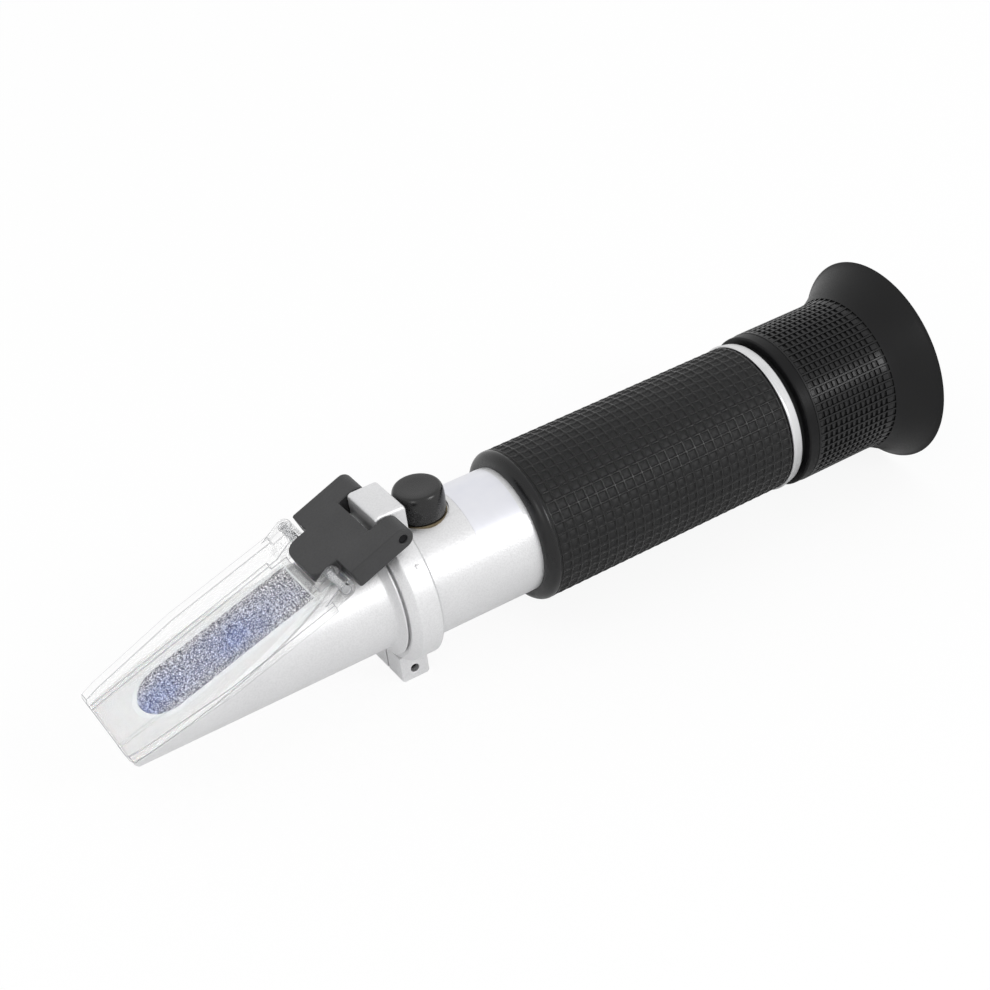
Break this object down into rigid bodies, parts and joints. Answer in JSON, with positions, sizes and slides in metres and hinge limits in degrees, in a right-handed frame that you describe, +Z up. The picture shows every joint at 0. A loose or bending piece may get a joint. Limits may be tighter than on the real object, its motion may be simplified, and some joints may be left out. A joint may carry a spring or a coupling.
{
  "type": "brix refractometer",
  "caption": "Hand-held brix refractometer: a hinged clear daylight plate over a sloping prism, a gripped barrel with a capped calibration screw, and a focusing eyepiece with a flared eyecup.",
  "frame": {"origin": "on the optical axis, at the mouth of the eye bore behind the eye lens", "axes": "+X along the optical axis, from the nose towards the eyecup; +Z up, out of the prism's sloping face; +Y to the left of someone who looks along +X with +Z up"},
  "size_m": [0.1635, 0.04, 0.04],
  "materials": {
    "satin_aluminium": "satin, fine blasted",
    "bright_aluminium": "turned, satin",
    "black_aluminium": "black anodised",
    "black_bracket": "moulded, matte",
    "clear_acrylic": "clear rails, frosted panel",
    "prism_glass": "polished",
    "lens_glass": "polished",
    "prism_cement": "cast, rough",
    "black_rubber": "moulded, square grid",
    "cap_rubber": "moulded, smooth",
    "brass": "turned",
    "steel": "drawn",
    "bimetal": "rolled"
  },
  "bodies": {
    "barrel": {"prism_housing": "satin_aluminium", "measuring_prism": "prism_glass", "prism_cement": "prism_cement", "clamp_collar": "satin_aluminium", "clamp_screw": "steel", "hinge_pin": "steel", "barrel_tube": "satin_aluminium", "calibration_boss": "brass", "objective_holder": "black_aluminium", "objective_lens": "lens_glass", "objective_ring": "black_aluminium", "compensation_strip": "bimetal", "strip_anchor": "brass", "glare_stop": "black_aluminium", "reticle_holder": "brass", "reticle": "lens_glass", "rubber_grip": "black_rubber", "end_ring": "bright_aluminium", "focus_bush": "black_aluminium"},
    "bracket": {"hinge_bracket": "black_bracket", "plate_pin": "steel"},
    "plate": {"daylight_plate": "clear_acrylic"},
    "cap": {"calibration_cap": "cap_rubber"},
    "calibration": {"calibration_screw": "steel"},
    "eyepiece": {"lens_tube": "black_aluminium", "field_lens": "lens_glass", "lens_spacer": "black_aluminium", "eye_lens": "lens_glass", "lens_retainer": "black_aluminium"},
    "focus": {"focus_ring": "black_aluminium", "tube_retainer": "black_aluminium", "eyecup": "black_rubber"}
  },
  "joints": [
    {"name": "bracket_hinge", "type": "hinge", "parent": "barrel", "child": "bracket", "pos_m": [-0.1033, 0, 0.01578], "axis": [0, 1, 0], "range_deg": [0, 110]},
    {"name": "plate_tilt", "type": "hinge", "parent": "bracket", "child": "plate", "pos_m": [-0.1152, 0, 0.01176], "axis": [0, 1, 0], "range_deg": [0, 8]},
    {"name": "cap_pull", "type": "slide", "parent": "barrel", "child": "cap", "axis": [0, 0, 1], "range_m": [0, 0.004]},
    {"name": "calibration_turn", "type": "hinge", "parent": "barrel", "child": "calibration", "pos_m": [-0.0944, 0, 0.011], "axis": [0, 0, 1], "range_deg": [-360, 360]},
    {"name": "focus_slide", "type": "slide", "parent": "barrel", "child": "eyepiece", "axis": [1, 0, 0], "range_m": [-0.0009, 0.0027]},
    {"name": "focus_turn", "type": "hinge", "parent": "eyepiece", "child": "focus", "pos_m": [0, 0, 0], "axis": [1, 0, 0], "range_deg": [-40, 120]}
  ],
  "couplings": [
    {"joint": "focus_slide", "follows": "focus_turn", "m_per_rad": 0.0012732}
  ]
}
